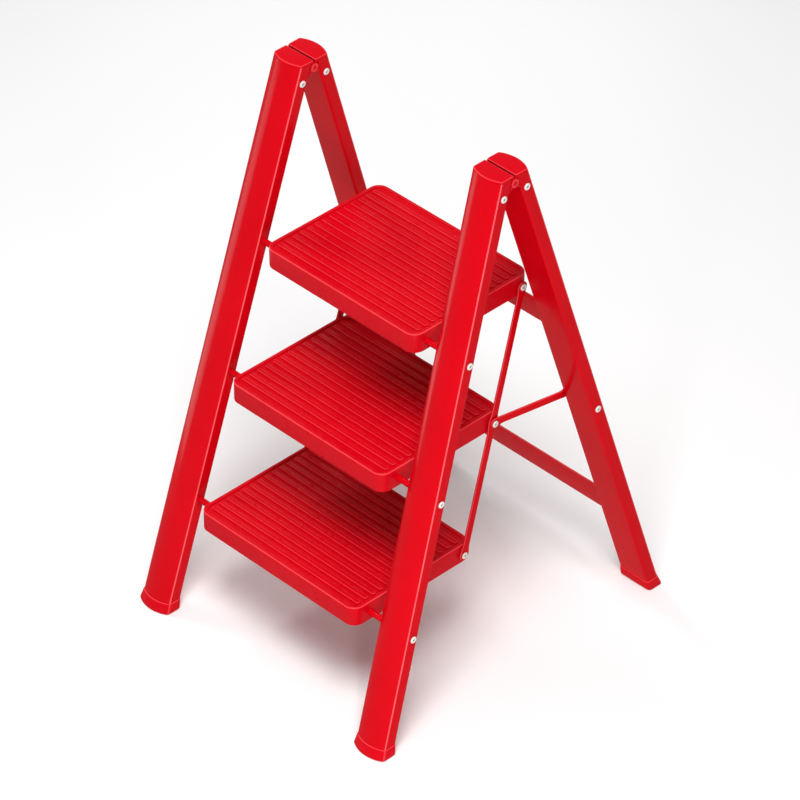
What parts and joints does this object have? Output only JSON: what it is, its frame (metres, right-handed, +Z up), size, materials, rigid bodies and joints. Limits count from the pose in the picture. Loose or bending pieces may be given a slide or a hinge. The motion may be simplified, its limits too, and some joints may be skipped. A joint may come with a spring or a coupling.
{
  "type": "folding step ladder",
  "caption": "Folding step ladder: hinged A-frame of D-section legs with ribbed moulded treads, link bars and folding stays.",
  "frame": {"origin": "centre of the footprint on the floor, in the plane through the top hinge axis", "axes": "+X to the user's right along the treads, +Y from the climbing side to the rear frame, +Z up"},
  "size_m": [0.5836, 0.665, 0.967],
  "materials": {
    "red_lacquer": "glossy red powder coat",
    "red_plastic": "glossy red moulded plastic",
    "rivet_white": "white lacquer",
    "pin_steel": "plain steel"
  },
  "bodies": {
    "front_frame": {"front_cap_left": "red_plastic", "front_cap_right": "red_plastic", "front_cap_rivet_left_inner": "rivet_white", "front_cap_rivet_left_outer": "rivet_white", "front_cap_rivet_right_inner": "rivet_white", "front_cap_rivet_right_outer": "rivet_white", "front_foot_left": "red_plastic", "front_foot_right": "red_plastic", "front_leg_left": "red_lacquer", "front_leg_right": "red_lacquer", "hinge_pin_left": "pin_steel", "hinge_pin_right": "pin_steel", "pivot_rivet_bottom_left": "rivet_white", "pivot_rivet_bottom_right": "rivet_white", "pivot_rivet_middle_left": "rivet_white", "pivot_rivet_middle_right": "rivet_white", "pivot_rivet_top_left": "rivet_white", "pivot_rivet_top_right": "rivet_white", "pivot_rod_bottom": "red_lacquer", "pivot_rod_middle": "red_lacquer", "pivot_rod_top": "red_lacquer"},
    "rear_frame": {"crossbar_lower": "red_lacquer", "crossbar_upper": "red_lacquer", "rear_cap_left": "red_plastic", "rear_cap_right": "red_plastic", "rear_cap_rivet_left_inner": "rivet_white", "rear_cap_rivet_left_outer": "rivet_white", "rear_cap_rivet_right_inner": "rivet_white", "rear_cap_rivet_right_outer": "rivet_white", "rear_foot_left": "red_plastic", "rear_foot_right": "red_plastic", "rear_leg_left": "red_lacquer", "rear_leg_right": "red_lacquer", "stay_pin_left": "red_lacquer", "stay_pin_right": "red_lacquer", "stay_pin_rivet_left": "rivet_white", "stay_pin_rivet_right": "rivet_white"},
    "tread_top": {"link_rivet_top_left": "rivet_white", "link_rivet_top_right": "rivet_white", "step_top": "red_plastic"},
    "tread_middle": {"link_rivet_middle_left": "rivet_white", "link_rivet_middle_right": "rivet_white", "step_middle": "red_plastic"},
    "tread_bottom": {"link_rivet_bottom_left": "rivet_white", "link_rivet_bottom_right": "rivet_white", "step_bottom": "red_plastic"},
    "link_bar_left": {"link_left": "red_lacquer"},
    "link_bar_right": {"link_right": "red_lacquer"},
    "stay_bar_left": {"stay_eye_rivet_left": "rivet_white", "stay_left": "red_lacquer"},
    "stay_bar_right": {"stay_eye_rivet_right": "rivet_white", "stay_right": "red_lacquer"}
  },
  "joints": [
    {"name": "rear_fold", "type": "hinge", "parent": "front_frame", "child": "rear_frame", "pos_m": [0, 0, 0.95235], "axis": [-1, 0, 0], "range_deg": [0, 26]},
    {"name": "tread_top_tilt", "type": "hinge", "parent": "front_frame", "child": "tread_top", "pos_m": [0, -0.10607, 0.66424], "axis": [1, 0, 0], "range_deg": [0, 62.4]},
    {"name": "tread_middle_tilt", "type": "hinge", "parent": "front_frame", "child": "tread_middle", "pos_m": [0, -0.17564, 0.43454], "axis": [1, 0, 0], "range_deg": [0, 62.4]},
    {"name": "tread_bottom_tilt", "type": "hinge", "parent": "front_frame", "child": "tread_bottom", "pos_m": [0, -0.2452, 0.20485], "axis": [1, 0, 0], "range_deg": [0, 62.4]},
    {"name": "link_left_swing", "type": "hinge", "parent": "tread_middle", "child": "link_bar_left", "pos_m": [-0.1798, 0.03136, 0.43454], "axis": [-1, 0, 0], "range_deg": [0, 62.4]},
    {"name": "stay_left_swing", "type": "hinge", "parent": "tread_middle", "child": "stay_bar_left", "pos_m": [-0.1833, 0.03136, 0.43454], "axis": [-1, 0, 0], "range_deg": [0, 149.24]},
    {"name": "link_right_swing", "type": "hinge", "parent": "tread_middle", "child": "link_bar_right", "pos_m": [0.1798, 0.03136, 0.43454], "axis": [-1, 0, 0], "range_deg": [0, 62.4]},
    {"name": "stay_right_swing", "type": "hinge", "parent": "tread_middle", "child": "stay_bar_right", "pos_m": [0.1833, 0.03136, 0.43454], "axis": [-1, 0, 0], "range_deg": [0, 149.24]}
  ],
  "couplings": [
    {"joint": "tread_top_tilt", "follows": "rear_fold", "ratio": 2.4},
    {"joint": "tread_middle_tilt", "follows": "rear_fold", "ratio": 2.4},
    {"joint": "tread_bottom_tilt", "follows": "rear_fold", "ratio": 2.4},
    {"joint": "link_left_swing", "follows": "rear_fold", "ratio": 2.4},
    {"joint": "stay_left_swing", "follows": "rear_fold", "ratio": 5.74},
    {"joint": "link_right_swing", "follows": "rear_fold", "ratio": 2.4},
    {"joint": "stay_right_swing", "follows": "rear_fold", "ratio": 5.74}
  ]
}
